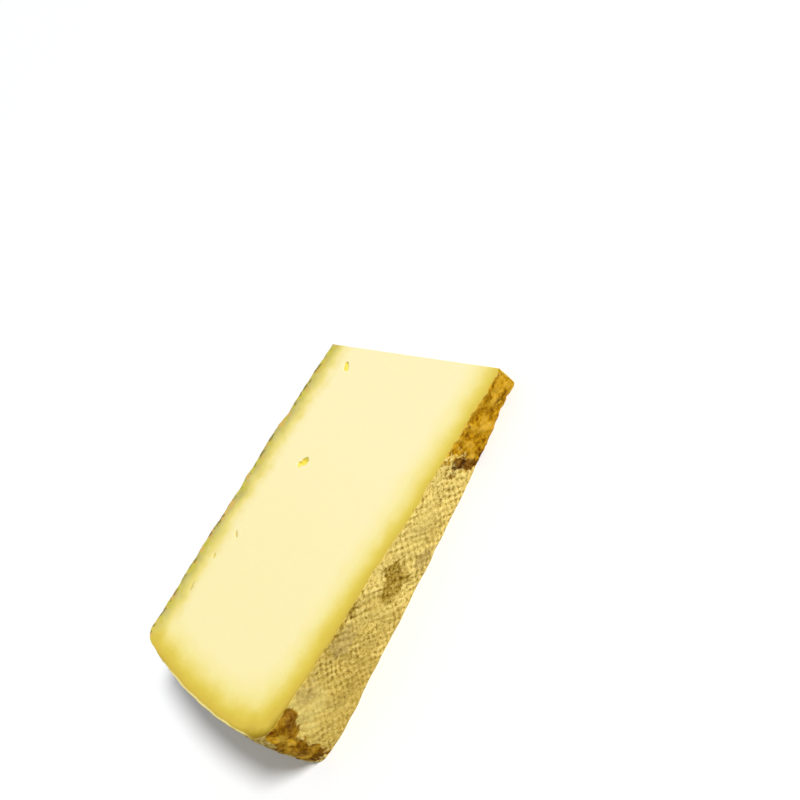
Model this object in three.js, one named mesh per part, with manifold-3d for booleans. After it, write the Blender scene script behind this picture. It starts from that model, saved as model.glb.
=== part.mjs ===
// A portion of alpine hard cheese: a narrow sector of a large wheel, with its tip trimmed off.
// Millimetres, +Z up. The portion lies on one of its two cut faces, and the other slopes up to the rim.
// +X points from the rim to the tip, and -Y is the flat side of the wheel that faces the front.
import * as THREE from 'three';
import { mergeVertices } from 'three/addons/utils/BufferGeometryUtils.js';
import Module from 'manifold-3d';

const wasm = await Module();
wasm.setup();

// The whole wheel: its height at the edges, its radius at the widest, and how far the rim swells there
const WHEEL_HEIGHT = 94;
const WHEEL_RADIUS = 253;
const RIM_SWELL = 5.4;
const EDGE_ROUNDING = 9.5;

// The wheel isn't quite round: along this portion its radius grows towards the lower cut
const RIM_GROWTH = 5;

// The flat sides swell too, most of all at a middling distance from the wheel's axis
const SIDE_SWELL = 2.2;
const SIDE_SWELL_RADIUS = 132;
const SIDE_SWELL_REACH = 76;

// The cuts: the angle between the two long ones, and the one that takes the tip off askew
const SECTOR_ANGLE = THREE.MathUtils.degToRad(9);
const TIP_RADIUS = 84;
const TIP_SKEW = THREE.MathUtils.degToRad(10.5);

// Uneven rind: waves of each length run in several directions over each other
const RIND_WAVES = [
  { length: 41, height: 0.3 },
  { length: 19, height: 0.3 },
  { length: 9.5, height: 0.24 },
];
const WAVE_DIRECTIONS = 5;
const GOLDEN_TURN = Math.PI * (3 - Math.sqrt(5));

// Small eyes in the upper cut face: distance from the tip cut, distance from the back side, size across
const EYES = [
  { fromTip: 16, fromBack: 15, length: 5, width: 2.6, turn: 0.6 },
  { fromTip: 63, fromBack: 25.5, length: 5, width: 4, turn: 1.2 },
];
const EYE_DEPTH = 1.6;
const EYE_DETAIL = 2;

// How finely the rind is faceted, and how far the uncut blank reaches past the cuts
const PROFILE_STEPS = 118;
const SWEEP_STEPS = 13;
const BLANK_RADIUS = 62;
const BLANK_MARGIN = SECTOR_ANGLE / 9;
const KNIFE_SIZE = 900;

const HALF_HEIGHT = WHEEL_HEIGHT / 2;
const EDGE_RADIUS = WHEEL_RADIUS - RIM_SWELL;

/** Half of the wheel's section: out along one flat side, round the swollen rim and back. */
function wheelProfile() {
  const cornerRadius = EDGE_RADIUS - EDGE_ROUNDING;
  const shoulder = EDGE_RADIUS + EDGE_ROUNDING / 6;
  const shoulderHeight = HALF_HEIGHT - EDGE_ROUNDING;
  const rimControl = 2 * WHEEL_RADIUS - shoulder;
  const outline = new THREE.Path();
  outline.moveTo(BLANK_RADIUS, -HALF_HEIGHT);
  outline.lineTo(cornerRadius, -HALF_HEIGHT);
  outline.quadraticCurveTo(EDGE_RADIUS, -HALF_HEIGHT, shoulder, -shoulderHeight);
  outline.quadraticCurveTo(rimControl, 0, shoulder, shoulderHeight);
  outline.quadraticCurveTo(EDGE_RADIUS, HALF_HEIGHT, cornerRadius, HALF_HEIGHT);
  outline.lineTo(BLANK_RADIUS, HALF_HEIGHT);
  return new THREE.Shape(outline.getSpacedPoints(PROFILE_STEPS));
}

/** How far a flat side swells at a distance from the wheel's axis. */
function sideSwell(radius) {
  const reach = (radius - SIDE_SWELL_RADIUS) / SIDE_SWELL_REACH;
  return SIDE_SWELL * Math.exp(-reach * reach);
}

/** Direction number k of a set that is spread evenly over all ways. */
function waveDirection(k) {
  const z = 1 - (2 * k + 1) / WAVE_DIRECTIONS;
  return new THREE.Vector3().setFromCylindricalCoords(Math.sqrt(1 - z * z), k * GOLDEN_TURN, z);
}

/** Height of the uneven rind at a point, above and below the wheel's true shape. */
function rindRelief(point) {
  let height = 0;
  RIND_WAVES.forEach((wave, row) => {
    for (let k = 0; k < WAVE_DIRECTIONS; k += 1) {
      const phase = (2 * Math.PI * waveDirection(k).dot(point)) / wave.length;
      height += (wave.height / Math.sqrt(WAVE_DIRECTIONS)) * Math.sin(phase + row + 2 * k);
    }
  });
  return height;
}

/** A geometry with its shared vertices merged, which is closed when the shape is. */
function weld(geometry) {
  geometry.deleteAttribute('normal');
  geometry.deleteAttribute('uv');
  return mergeVertices(geometry);
}

/** A closed geometry as a solid that can be joined and cut. */
function toSolid(geometry) {
  const welded = weld(geometry);
  return new wasm.Manifold(new wasm.Mesh({
    numProp: 3,
    vertProperties: new Float32Array(welded.attributes.position.array),
    triVerts: new Uint32Array(welded.index.array),
  }));
}

/** A solid as a geometry to show. */
function toGeometry(solid) {
  const mesh = solid.getMesh();
  const geometry = new THREE.BufferGeometry();
  geometry.setAttribute('position', new THREE.Float32BufferAttribute(mesh.vertProperties, 3));
  geometry.setIndex(new THREE.Uint32BufferAttribute(mesh.triVerts, 1));
  geometry.computeVertexNormals();
  return geometry;
}

/** Changes every vertex of a geometry by a function of its position and its number. */
function moveVertices(geometry, move) {
  const position = geometry.attributes.position;
  const point = new THREE.Vector3();
  for (let i = 0; i < position.count; i += 1) {
    point.fromBufferAttribute(position, i);
    move(point, i);
    position.setXYZ(i, point.x, point.y, point.z);
  }
}

/** The uncut blank: the profile swept round the wheel's axis, a little past both long cuts. */
function sectorBlank() {
  const extrusion = new THREE.ExtrudeGeometry(wheelProfile(), {
    depth: 1,
    steps: SWEEP_STEPS,
    bevelEnabled: false,
  });
  const blank = weld(extrusion);
  moveVertices(blank, (point) => {
    const angle = THREE.MathUtils.lerp(-BLANK_MARGIN, SECTOR_ANGLE + BLANK_MARGIN, point.z);
    const outward = (point.x - BLANK_RADIUS) / (WHEEL_RADIUS - BLANK_RADIUS);
    const radius = point.x + RIM_GROWTH * (1 - angle / SECTOR_ANGLE) * outward;
    const swell = (point.y / HALF_HEIGHT) ** 3 * sideSwell(radius);
    point.set(-radius * Math.cos(angle), -point.y - swell, radius * Math.sin(angle));
  });
  blank.computeVertexNormals();
  const normal = new THREE.Vector3();
  moveVertices(blank, (point, i) => {
    normal.fromBufferAttribute(blank.attributes.normal, i);
    point.addScaledVector(normal, rindRelief(point));
  });
  return toSolid(blank);
}

/** A large block whose face lies at a point, with the face's normal pointing into the block. */
function knife(point, normal) {
  const geometry = new THREE.BoxGeometry(KNIFE_SIZE, KNIFE_SIZE, KNIFE_SIZE);
  geometry.translate(0, 0, KNIFE_SIZE / 2);
  const turn = new THREE.Quaternion().setFromUnitVectors(new THREE.Vector3(0, 0, 1), normal);
  geometry.applyQuaternion(turn);
  geometry.translate(point.x, point.y, point.z);
  return toSolid(geometry);
}

/** The frame of the upper cut face: x from the tip cut to the rim, y to the front, z up out of it. */
function upperFaceFrame() {
  const frame = new THREE.Matrix4().makeRotationY(SECTOR_ANGLE);
  frame.multiply(new THREE.Matrix4().makeRotationZ(Math.PI));
  return frame.multiply(new THREE.Matrix4().makeTranslation(TIP_RADIUS, -HALF_HEIGHT, 0));
}

/** A small flattened hollow in the upper cut face. */
function eye({ fromTip, fromBack, length, width, turn }) {
  const geometry = new THREE.IcosahedronGeometry(1, EYE_DETAIL);
  geometry.scale(length / 2, width / 2, EYE_DEPTH);
  geometry.rotateZ(turn);
  geometry.translate(fromTip, fromBack, 0);
  geometry.applyMatrix4(upperFaceFrame());
  return toSolid(geometry);
}

/** The portion: the blank, cut along both long cuts and at the tip, with its eyes hollowed out. */
function cheeseWedge() {
  const faceFrame = upperFaceFrame();
  const axis = new THREE.Vector3(0, 0, 0);
  const tipNormal = new THREE.Vector3(-Math.cos(TIP_SKEW), -Math.sin(TIP_SKEW), 0);
  const tipPoint = new THREE.Vector3(0, HALF_HEIGHT, 0).applyMatrix4(faceFrame);
  const cuts = [
    knife(axis, new THREE.Vector3(0, 0, -1)),
    knife(axis, new THREE.Vector3(0, 0, 1).transformDirection(faceFrame)),
    knife(tipPoint, tipNormal.transformDirection(faceFrame)),
    ...EYES.map(eye),
  ];
  const solid = cuts.reduce((body, cut) => body.subtract(cut), sectorBlank());
  const geometry = toGeometry(solid);
  const box = new THREE.Box3().setFromBufferAttribute(geometry.attributes.position);
  const middle = box.getCenter(new THREE.Vector3());
  geometry.translate(-middle.x, -middle.y, -box.min.z);
  return geometry;
}

const cheese = new THREE.MeshStandardMaterial({ color: 0xf3e29a, roughness: 0.55, metalness: 0 });
const wedge = new THREE.Mesh(cheeseWedge(), cheese);
wedge.name = 'cheese_wedge';

const part = new THREE.Group();
part.add(wedge);

export default part;
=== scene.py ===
"""A wedge of hard alpine cheese that lies on a cut face, with its paste and its rind, in a small studio."""

import logging
import math
from collections.abc import Iterable
from dataclasses import dataclass
from enum import Enum

import bmesh
import bpy
import numpy as np
from mathutils import Matrix, Vector, noise


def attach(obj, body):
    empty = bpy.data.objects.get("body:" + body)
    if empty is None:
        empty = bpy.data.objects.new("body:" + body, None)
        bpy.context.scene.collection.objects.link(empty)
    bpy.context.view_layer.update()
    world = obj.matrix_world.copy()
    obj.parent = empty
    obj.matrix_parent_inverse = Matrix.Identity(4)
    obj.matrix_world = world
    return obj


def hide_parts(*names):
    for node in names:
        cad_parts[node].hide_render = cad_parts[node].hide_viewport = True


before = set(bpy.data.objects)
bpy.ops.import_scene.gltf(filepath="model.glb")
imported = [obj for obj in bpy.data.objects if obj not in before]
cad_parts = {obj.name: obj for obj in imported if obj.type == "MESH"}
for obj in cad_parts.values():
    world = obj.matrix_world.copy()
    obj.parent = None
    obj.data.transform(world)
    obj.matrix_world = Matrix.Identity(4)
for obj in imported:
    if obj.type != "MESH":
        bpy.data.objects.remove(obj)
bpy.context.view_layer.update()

LOG = logging.getLogger("cheese")

# The frame's names, and the unit of the sizes below in metres
BODY = "root"
NODE = "cheese_wedge"
MM = 0.001

# The places of the two materials in the wedge's list
PASTE = 0
RIND = 1

# How near to 0 or 1 a lattice coordinate counts as on the lattice's side
ON_SIDE = 1e-5

# How many points each curve of the wheel's section gets
CURVE_POINTS = 200

Pair = tuple[float, float]
Triple = tuple[float, float, float]
Stops = tuple[tuple[float, Triple], ...]
Socket = bpy.types.NodeSocket
Given = Socket | float | tuple[float, ...]

WHITE = (255, 255, 255)


def linear(colour: Triple) -> tuple[float, float, float, float]:
    """A colour's scene values.

    Args:
        colour: Red, green and blue as a screen shows them, 0 to 255.

    Returns:
        Linear red, green, blue and an alpha of 1.
    """
    shares = [channel / 255 for channel in colour]
    values = [((share + 0.055) / 1.055) ** 2.4 if share > 0.04045 else share / 12.92 for share in shares]
    return (*values, 1.0)


def smooth_step(values: np.ndarray, low: float, high: float) -> np.ndarray:
    """A soft step.

    Args:
        values: What is stepped.
        low: Where the step starts from 0.
        high: Where it ends at 1.

    Returns:
        The step's height for each value.
    """
    share = np.clip((values - low) / (high - low), 0, 1)
    return share * share * (3 - 2 * share)


def quadratic(start: Pair, control: Pair, end: Pair) -> np.ndarray:
    """A run of points on a quadratic curve.

    Args:
        start: First point.
        control: The point that the curve bends towards.
        end: Last point, which is left out of the run.

    Returns:
        The points, one a row.
    """
    share = np.arange(0, 1, 1 / CURVE_POINTS)[:, None]
    first, bend, last = (np.array(point) for point in (start, control, end))
    return (1 - share) ** 2 * first + 2 * share * (1 - share) * bend + share**2 * last


def flat_places(first: np.ndarray, second: np.ndarray) -> np.ndarray:
    """Places of a flat surface as rows of three, for what reads places in space."""
    return np.column_stack([first, second, np.zeros(len(first))])


@dataclass(frozen=True)
class Lumps:
    """Smooth random values between about -1 and 1, in lumps of a size in millimetres."""

    size: float
    seed: float

    def at(self, places: np.ndarray) -> np.ndarray:
        """One value for each place, where the places are rows of three."""
        return np.array([noise.noise(place) for place in (places / self.size + self.seed).tolist()])


class Side(Enum):
    """The three sides that have a rind. The value says which way a flat side faces along the wheel's axis."""

    BACK = -1
    RIM = 0
    FRONT = 1


@dataclass(frozen=True)
class Wheel:
    """The wheel that the wedge was cut from, in millimetres, with its axis along Y at X = 0."""

    height: float = 94.0
    radius: float = 253.0
    rim_swell: float = 5.4
    edge_rounding: float = 9.5
    back_edge_rounding: float = 5.5
    shoulder: float = 1 / 6
    rim_growth: float = 5.0
    side_swell: float = 2.2
    side_swell_radius: float = 132.0
    side_swell_reach: float = 76.0
    hub_radius: float = 62.0
    sector: float = math.radians(9)
    tip_radius: float = 84.0
    tip_skew: float = math.radians(10.5)

    @property
    def half_height(self) -> float:
        """Half of the wheel's height."""
        return self.height / 2

    @property
    def edge_radius(self) -> float:
        """Distance from the axis at which a flat side would meet the rim without a rounding."""
        return self.radius - self.rim_swell

    def swell_at(self, radius: np.ndarray) -> np.ndarray:
        """How far a flat side swells at each distance from the axis."""
        reach = (radius - self.side_swell_radius) / self.side_swell_reach
        return self.side_swell * np.exp(-reach * reach)

    def growth_at(self, level: np.ndarray) -> np.ndarray:
        """How much the radius grows at each level, for each millimetre out from the hub."""
        return self.rim_growth * (1 - level) / (self.radius - self.hub_radius)

    def corner(self, side: Side) -> tuple[Pair, Pair]:
        """The rounded edge between a flat side and the rim.

        Args:
            side: Front or back.

        Returns:
            Where the rounding starts on the flat side and where it ends on the rim, as distance from
            the axis and height towards the front.
        """
        rounding = self.edge_rounding if side is Side.FRONT else self.back_edge_rounding
        start = (self.edge_radius - rounding, side.value * self.half_height)
        end = (self.edge_radius + rounding * self.shoulder, side.value * (self.half_height - rounding))
        return start, end

    def half_section(self) -> tuple[np.ndarray, list[float]]:
        """Half of the wheel's section: out along the front side, round the rim and back.

        Returns:
            Rows of distance along the skin, distance from the axis and height towards the front, and
            the distances along the skin at which the two edges start and end.
        """
        half, hub, edge = self.half_height, self.hub_radius, self.edge_radius
        front, front_shoulder = self.corner(Side.FRONT)
        back, back_shoulder = self.corner(Side.BACK)
        rim_control = 2 * self.radius - front_shoulder[0]
        runs = [
            quadratic((hub, half), ((hub + front[0]) / 2, half), front),
            quadratic(front, (edge, half), front_shoulder),
            quadratic(front_shoulder, (rim_control, 0), back_shoulder),
            quadratic(back_shoulder, (edge, -half), back),
            quadratic(back, ((hub + back[0]) / 2, -half), (hub, -half)),
        ]
        points = np.concatenate([*runs, [(hub, -half)]])
        steps = np.linalg.norm(np.diff(points, axis=0), axis=1)
        distance = np.concatenate([[0], np.cumsum(steps)]) - (self.tip_radius - hub)
        joints = np.cumsum([len(run) for run in runs])[:-1]
        return np.column_stack([distance, points]), [float(distance[joint]) for joint in joints]


@dataclass(frozen=True)
class LongWaves:
    """The slow unevenness of the rind: waves of each length, in several directions over each other."""

    lengths: tuple[float, ...] = (41.0, 19.0, 9.5)
    heights: tuple[float, ...] = (0.3, 0.3, 0.24)
    directions: int = 5
    golden_turn: float = math.pi * (3 - math.sqrt(5))

    def at(self, places: np.ndarray) -> np.ndarray:
        """Height of the waves.

        Args:
            places: Places in millimetres, one a row.

        Returns:
            Height in millimetres for each place.
        """
        height = np.zeros(len(places))
        for row, (length, share) in enumerate(zip(self.lengths, self.heights)):
            for k in range(self.directions):
                along = 1 - (2 * k + 1) / self.directions
                across = math.sqrt(1 - along * along)
                turn = k * self.golden_turn
                way = np.array([across * math.sin(turn), along, across * math.cos(turn)])
                phase = 2 * math.pi * (places @ way) / length
                height += share / math.sqrt(self.directions) * np.sin(phase + row + 2 * k)
        return height


class Tone(Enum):
    """What lies on the rind in patches. The value is the attribute that says where."""

    WORN = "worn"
    BLOOM = "bloom"
    OLIVE = "olive"
    SMEAR = "smear"
    CRUST = "crust"
    BRUISE = "bruise"


Tones = dict[Tone, np.ndarray]


@dataclass(frozen=True)
class Patch:
    """A patch of one tone on the front side, in millimetres along the skin and below the upper cut."""

    tone: Tone
    along: float
    below: float
    length: float
    breadth: float
    lean: float = 0.0
    strength: float = 1.0

    def reach(self, along: np.ndarray, below: np.ndarray) -> np.ndarray:
        """Distance of each place from the patch's middle, where 1 is its edge."""
        shifted = along - self.along - self.lean * (below - self.below)
        return np.hypot(shifted / self.length, (below - self.below) / self.breadth)


# The patches of the front side
FRONT_PATCHES = (
    Patch(Tone.WORN, 144, 8, 13, 15),
    Patch(Tone.WORN, 132, 27, 22, 9, strength=0.6),
    Patch(Tone.WORN, 114, 5, 8, 7, strength=0.7),
    Patch(Tone.WORN, 94, 14, 6, 8, strength=0.6),
    Patch(Tone.WORN, 63, 11, 10, 10, strength=0.75),
    Patch(Tone.CRUST, 9, 6, 24, 30, lean=-0.3),
    Patch(Tone.BRUISE, 29.4, 12.4, 4.2, 5.6, lean=-0.9),
    Patch(Tone.BRUISE, 20, 1, 8, 2, strength=0.45),
    Patch(Tone.BRUISE, 0, 9, 3.5, 4, strength=0.5),
    Patch(Tone.BRUISE, 48, 9.8, 2.4, 1.6, strength=0.7),
    Patch(Tone.OLIVE, 60, 16, 6, 5, strength=0.5),
    Patch(Tone.OLIVE, 84, 14, 8, 7),
    Patch(Tone.OLIVE, 104, 1, 6, 2.4, strength=0.8),
    Patch(Tone.OLIVE, 116, 1, 7, 2.8, strength=0.8),
    Patch(Tone.OLIVE, 128, 24, 9, 6, strength=0.5),
    Patch(Tone.BLOOM, 70, 22, 8, 4),
    Patch(Tone.BLOOM, 114.6, 6, 8, 5),
    Patch(Tone.BLOOM, 138.6, 4, 7, 5, strength=0.7),
    Patch(Tone.BLOOM, 172, 4, 9, 7, strength=0.8),
    Patch(Tone.OLIVE, 171, 17, 8, 9, strength=0.8),
    Patch(Tone.SMEAR, 156, 6, 8, 13),
    Patch(Tone.SMEAR, 159.5, 21, 7, 18, lean=0.2),
    Patch(Tone.CRUST, 161, 2, 4, 5),
    Patch(Tone.CRUST, 157, 14, 1.8, 5, lean=0.3, strength=0.75),
    Patch(Tone.CRUST, 163, 29, 2.5, 3, strength=0.7),
    Patch(Tone.BRUISE, 151.5, 8, 2, 6, lean=0.3, strength=0.7),
    Patch(Tone.BRUISE, 159.5, 22, 3, 4, strength=0.6),
    Patch(Tone.BRUISE, 161, 35, 6, 3, strength=0.6),
)


@dataclass(frozen=True)
class Drift:
    """How one tone lies on the rim and the back side: by chance, in broad uneven drifts."""

    tone: Tone
    size: float
    seed: float
    cover: Pair
    finer: float = 1 / 3
    finer_share: float = 0.5

    def at(self, skin: np.ndarray) -> np.ndarray:
        """Share of the tone at each place of the skin.

        Args:
            skin: Places on the skin, as rows of three.

        Returns:
            A share from 0 to 1 for each place.
        """
        broad = Lumps(self.size, self.seed).at(skin)
        finer = Lumps(self.size * self.finer, self.seed + 1).at(skin)
        return smooth_step(broad + self.finer_share * finer, *self.cover)


FAR_DRIFTS = (
    Drift(Tone.WORN, 24.0, 79.3, cover=(0.0, 0.7)),
    Drift(Tone.BLOOM, 15.0, 82.3, cover=(0.1, 0.7)),
    Drift(Tone.OLIVE, 17.0, 85.3, cover=(0.0, 0.6)),
    Drift(Tone.SMEAR, 17.0, 91.3, cover=(0.15, 1.2)),
    Drift(Tone.CRUST, 27.0, 88.7, cover=(0.2, 1.1)),
    Drift(Tone.BRUISE, 11.0, 94.3, cover=(0.3, 1.3)),
)


@dataclass(frozen=True)
class ThreadRow:
    """A slanting row of the cloth's threads, in threads per millimetre along the skin and down it."""

    slant: Pair
    seed: float


@dataclass(frozen=True)
class ClothPrint:
    """The print that a woven cloth leaves in the rind: low bumps in two slanting rows, worn in places."""

    rows: tuple[ThreadRow, ...] = (ThreadRow((-0.333, 0.233), 11.0), ThreadRow((0.236, 0.23), 12.0))
    wander: tuple[Pair, ...] = ((11.0, 0.5), (4.2, 0.42))
    depth: float = 0.8
    depth_change: float = 0.6
    patch_size: float = 6.0
    patch_seed_shift: float = 0.7
    left: float = 0.75
    left_least: float = 0.2
    left_lumps: Lumps = Lumps(6.0, 9.7)
    highest: float = 1.5

    def bumps(self, skin: np.ndarray) -> np.ndarray:
        """Height of the print.

        Args:
            skin: Places on the skin, as rows of three.

        Returns:
            A value for each place, below zero in the pits and above it on the bumps, mostly within 1.
        """
        height = np.zeros(len(skin))
        for row in self.rows:
            phase = skin[:, :2] @ np.array(row.slant)
            for size, reach in self.wander:
                phase += reach * Lumps(size, row.seed + size).at(skin)
            patches = Lumps(self.patch_size, row.seed + self.patch_seed_shift).at(skin)
            height += (self.depth + self.depth_change * patches) * np.cos(2 * math.pi * phase)
        left = np.clip(self.left + self.left_lumps.at(skin), self.left_least, 1)
        return np.clip(left * height, -self.highest, self.highest)


@dataclass(frozen=True)
class Rind:
    """The fine relief of the rind and where its tones lie, in millimetres."""

    cloth: ClothPrint = ClothPrint()
    print_height: float = 0.1
    print_under_crust: float = 0.4
    print_where_worn: float = 0.5
    lumps: Lumps = Lumps(5.5, 43.3)
    lump_height: float = 0.28
    grain: Lumps = Lumps(1.5, 47.3)
    grain_height: float = 0.22
    crags: tuple[tuple[Lumps, float], ...] = ((Lumps(3.4, 56.7), 0.65), (Lumps(1.7, 55.0), 0.28))
    crust_depth: float = 0.2
    bends: tuple[Lumps, Lumps] = (Lumps(10.0, 31.3), Lumps(10.0, 32.3))
    bend_reach: float = 5.0
    frays: tuple[Lumps, Lumps] = (Lumps(3.2, 37.3), Lumps(3.2, 38.3))
    fray_reach: float = 2.4
    patch_fade: Pair = (0.5, 1.4)
    cut_edge_drop: float = 0.14
    cut_edge_loss: float = 0.5
    cut_edge_reach: float = 2.5
    patches: tuple[Patch, ...] = FRONT_PATCHES
    drifts: tuple[Drift, ...] = FAR_DRIFTS
    drift_start: Pair = (166.0, 176.0)

    def tones(self, skin: np.ndarray) -> Tones:
        """How strongly each tone covers each place.

        Args:
            skin: Places on the skin, as rows of three.

        Returns:
            For each tone, a share from 0 to 1 a place.
        """
        along, below = (
            skin[:, column]
            + self.bend_reach * self.bends[column].at(skin)
            + self.fray_reach * self.frays[column].at(skin)
            for column in (0, 1)
        )
        cover = {tone: np.zeros(len(skin)) for tone in Tone}
        for patch in self.patches:
            share = patch.strength * (1 - smooth_step(patch.reach(along, below), *self.patch_fade))
            cover[patch.tone] = np.maximum(cover[patch.tone], share)
        far = smooth_step(skin[:, 0], *self.drift_start)
        for drift in self.drifts:
            cover[drift.tone] = np.maximum(cover[drift.tone], far * drift.at(skin))
        return cover

    def crusted(self, tones: Tones) -> np.ndarray:
        """Share of each place that one of the three crusts covers."""
        return np.clip(tones[Tone.CRUST] + tones[Tone.SMEAR] + tones[Tone.BRUISE], 0, 1)

    def calm(self, from_cut: np.ndarray, tones: Tones) -> np.ndarray:
        """Share of the relief that a knife leaves near a cut, where there is no crust."""
        near = 1 - smooth_step(from_cut, 0, self.cut_edge_reach)
        return 1 - self.cut_edge_loss * near * (1 - self.crusted(tones))

    def relief(self, places: np.ndarray, bumps: np.ndarray, tones: Tones) -> np.ndarray:
        """Height of the fine relief.

        Args:
            places: Places in space, one a row.
            bumps: Height of the cloth's print there.
            tones: How strongly each tone covers each place.

        Returns:
            Height in millimetres for each place.
        """
        crusted = self.crusted(tones)
        height = self.print_height * bumps
        height *= 1 - (1 - self.print_under_crust) * crusted
        height *= 1 - (1 - self.print_where_worn) * tones[Tone.WORN]
        height += self.lump_height * self.lumps.at(places)
        height += self.grain_height * self.grain.at(places)
        crags = sum(reach * lumps.at(places) for lumps, reach in self.crags)
        return height + crusted * (crags - self.crust_depth)


@dataclass(frozen=True)
class Eye:
    """A small hollow in the upper cut: its place from the tip cut and from the back side, and its size."""

    from_tip: float
    from_back: float
    length: float
    width: float
    turn: float
    depth: float = 1.6

    def reach(self, from_tip: np.ndarray, from_back: np.ndarray) -> np.ndarray:
        """How far out of the eye places of the upper cut lie.

        Args:
            from_tip: Their distances from the tip cut.
            from_back: Their distances from the back side.

        Returns:
            Distance from the eye's middle for each place, where 1 is the eye's rim.
        """
        along, across = from_tip - self.from_tip, from_back - self.from_back
        turned_along = along * math.cos(self.turn) + across * math.sin(self.turn)
        turned_across = across * math.cos(self.turn) - along * math.sin(self.turn)
        return np.hypot(turned_along / (self.length / 2), turned_across / (self.width / 2))


# Two open eyes, of which one is a pair grown together, and three shallow marks
EYES = (
    Eye(16, 15, 5, 2.6, 0.6),
    Eye(62.2, 25.9, 4.6, 3.4, 2.4),
    Eye(64.2, 24.2, 3, 2.4, 0.7, depth=1.2),
    Eye(104.6, 13.5, 4.4, 1.6, 0.9, depth=0.36),
    Eye(118, 9, 3, 1.6, 0.4, depth=0.4),
    Eye(134.6, 7.5, 5, 2, 0.2, depth=0.32),
)


@dataclass(frozen=True)
class UpperCut:
    """What is uneven in the upper cut: the knife's slight waves and the eyes, in millimetres."""

    eyes: tuple[Eye, ...] = EYES
    wave_height: float = 0.05
    waves: Lumps = Lumps(22.0, 67.0)
    raggedness: float = 0.3
    ragged: Lumps = Lumps(1.6, 61.0)

    def sink(self, from_tip: np.ndarray, from_back: np.ndarray) -> np.ndarray:
        """How deep places of the upper cut lie below its plane.

        Args:
            from_tip: Their distances from the tip cut.
            from_back: Their distances from the back side.

        Returns:
            Depth in millimetres for each place.
        """
        flat = flat_places(from_tip, from_back)
        ragged = self.raggedness * self.ragged.at(flat)
        sink = self.wave_height * (1 + self.waves.at(flat))
        for eye in self.eyes:
            reach = eye.reach(from_tip, from_back) + ragged
            sink += eye.depth * np.sqrt(np.clip(1 - reach * reach, 0, 1)) * (reach < 1)
        return sink


@dataclass(frozen=True)
class Lattice:
    """How finely the wedge is divided: from tip to rim, from back to front and from cut to cut."""

    out: int = 88
    across: int = 48
    thick: int = 18
    rind_cuts: int = 3
    eye_cuts: tuple[int, ...] = (3, 1)
    eye_margin: float = 3.0


@dataclass(frozen=True)
class Points:
    """Points of the lattice block: from tip to rim, from back to front and from the lower cut up, 0 to 1."""

    out: np.ndarray
    across: np.ndarray
    level: np.ndarray

    @property
    def on_front(self) -> np.ndarray:
        """Which points lie on the front side."""
        return self.across > 1 - ON_SIDE

    @property
    def on_back(self) -> np.ndarray:
        """Which points lie on the back side."""
        return self.across < ON_SIDE

    @property
    def on_skin(self) -> np.ndarray:
        """Which points lie on the front side, the rim or the back side."""
        return self.on_front | self.on_back | (self.out > 1 - ON_SIDE)

    @property
    def on_tip(self) -> np.ndarray:
        """Which points lie on the tip cut."""
        return self.out < ON_SIDE

    @property
    def on_upper(self) -> np.ndarray:
        """Which points lie on the upper cut."""
        return self.level > 1 - ON_SIDE

    @property
    def on_long_cut(self) -> np.ndarray:
        """Which points lie on the upper or the lower cut."""
        return self.on_upper | (self.level < ON_SIDE)


@dataclass(frozen=True)
class Mottle:
    """Uneven patches of a finish: their size in millimetres, how detailed they are, and their seed."""

    size: float
    detail: float
    seed: float


@dataclass(frozen=True)
class Surface:
    """How rough, glossy and bumpy a finish is, with the bumps' depth in millimetres."""

    roughness: float
    roughness_change: float
    specular: float
    bump_strength: float = 0.0
    bump_depth: float = 0.0


@dataclass(frozen=True)
class Gaps:
    """Sockets with the distances from the back side, the front side and the rim, in millimetres."""

    back: Socket
    front: Socket
    rim: Socket


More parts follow.
